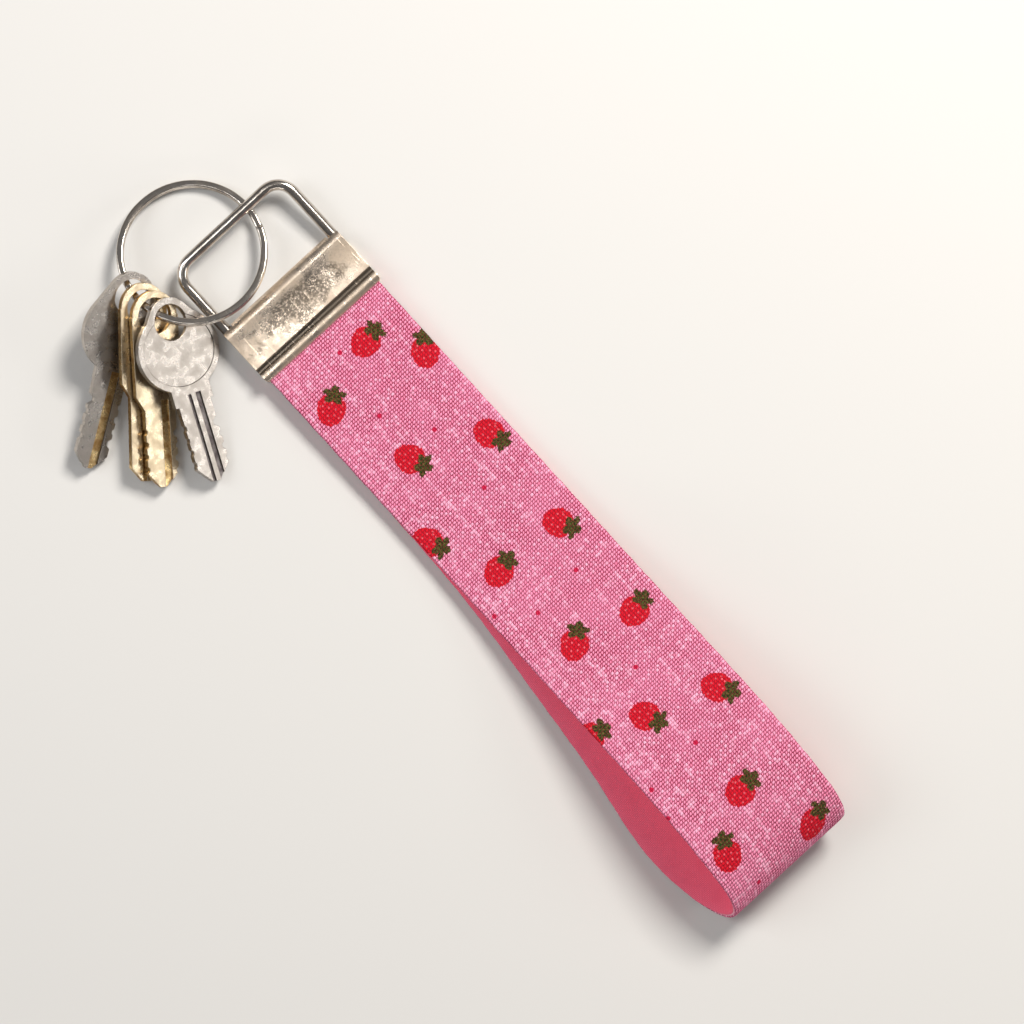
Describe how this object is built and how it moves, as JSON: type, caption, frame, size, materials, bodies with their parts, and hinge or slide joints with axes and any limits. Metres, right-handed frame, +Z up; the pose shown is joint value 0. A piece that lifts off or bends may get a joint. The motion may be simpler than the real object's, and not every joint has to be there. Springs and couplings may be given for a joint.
{
  "type": "wristlet key fob",
  "caption": "Wristlet key fob: folded printed fabric strap crimped in a metal clamp, with a wire bail, a split ring and flat keys.",
  "frame": {"origin": "centre of the clamp's flat back, where the fob lies on a surface", "axes": "+Y along the object towards the ring, -Y along the strap, +Z up from the surface, +X across the strap"},
  "size_m": [0.0721, 0.1927, 0.0162],
  "materials": {
    "plated_clamp": "satin nickel plate, worn",
    "bail_wire": "polished nickel-plated wire",
    "ring_wire": "polished nickel-plated wire",
    "key_nickel": "worn nickel silver",
    "key_brass": "nickel-plated brass, worn through at its edges",
    "printed_canvas": "coarse printed cotton canvas",
    "strap_core": "stiffening layer",
    "lining": "smooth raspberry backing"
  },
  "bodies": {
    "clamp": {"clamp": "plated_clamp", "strap_ends": "strap_core"},
    "strap": {"strap_print": "printed_canvas", "strap_core": "strap_core", "strap_lining": "lining"},
    "bail": {"bail": "bail_wire"},
    "split_ring": {"split_ring": "ring_wire"},
    "key_right": {"key_right": "key_nickel"},
    "key_middle": {"key_middle": "key_brass"},
    "key_back": {"key_back": "key_brass"},
    "key_left": {"key_left": "key_nickel"}
  },
  "joints": [
    {"name": "strap_bend", "type": "hinge", "parent": "clamp", "child": "strap", "pos_m": [0, -0.0086, 0.0023], "axis": [1, 0, 0], "range_deg": [-45, 45]},
    {"name": "bail_swing", "type": "hinge", "parent": "clamp", "child": "bail", "pos_m": [0, 0.0049, 0.0023], "axis": [1, 0, 0], "range_deg": [-90, 4]},
    {"name": "ring_swing", "type": "hinge", "parent": "bail", "child": "split_ring", "pos_m": [0, 0.02279, 0.00427], "axis": [-1, 0, 0], "range_deg": [0, 100]},
    {"name": "key_right_orbit", "type": "hinge", "parent": "split_ring", "child": "key_right", "pos_m": [-0.00923, 0.0233, 0.00447], "axis": [0.1618, 0.1618, 0.9735], "range_deg": [-30, 0]},
    {"name": "key_middle_orbit", "type": "hinge", "parent": "key_right", "child": "key_middle", "pos_m": [-0.00923, 0.0233, 0.00447], "axis": [0.1618, 0.1618, 0.9735], "range_deg": [-30, 0]},
    {"name": "key_back_orbit", "type": "hinge", "parent": "key_middle", "child": "key_back", "pos_m": [-0.00923, 0.0233, 0.00447], "axis": [0.1618, 0.1618, 0.9735], "range_deg": [-20, 0]},
    {"name": "key_left_orbit", "type": "hinge", "parent": "key_back", "child": "key_left", "pos_m": [-0.00923, 0.0233, 0.00447], "axis": [0.1618, 0.1618, 0.9735], "range_deg": [-40, 0]}
  ]
}
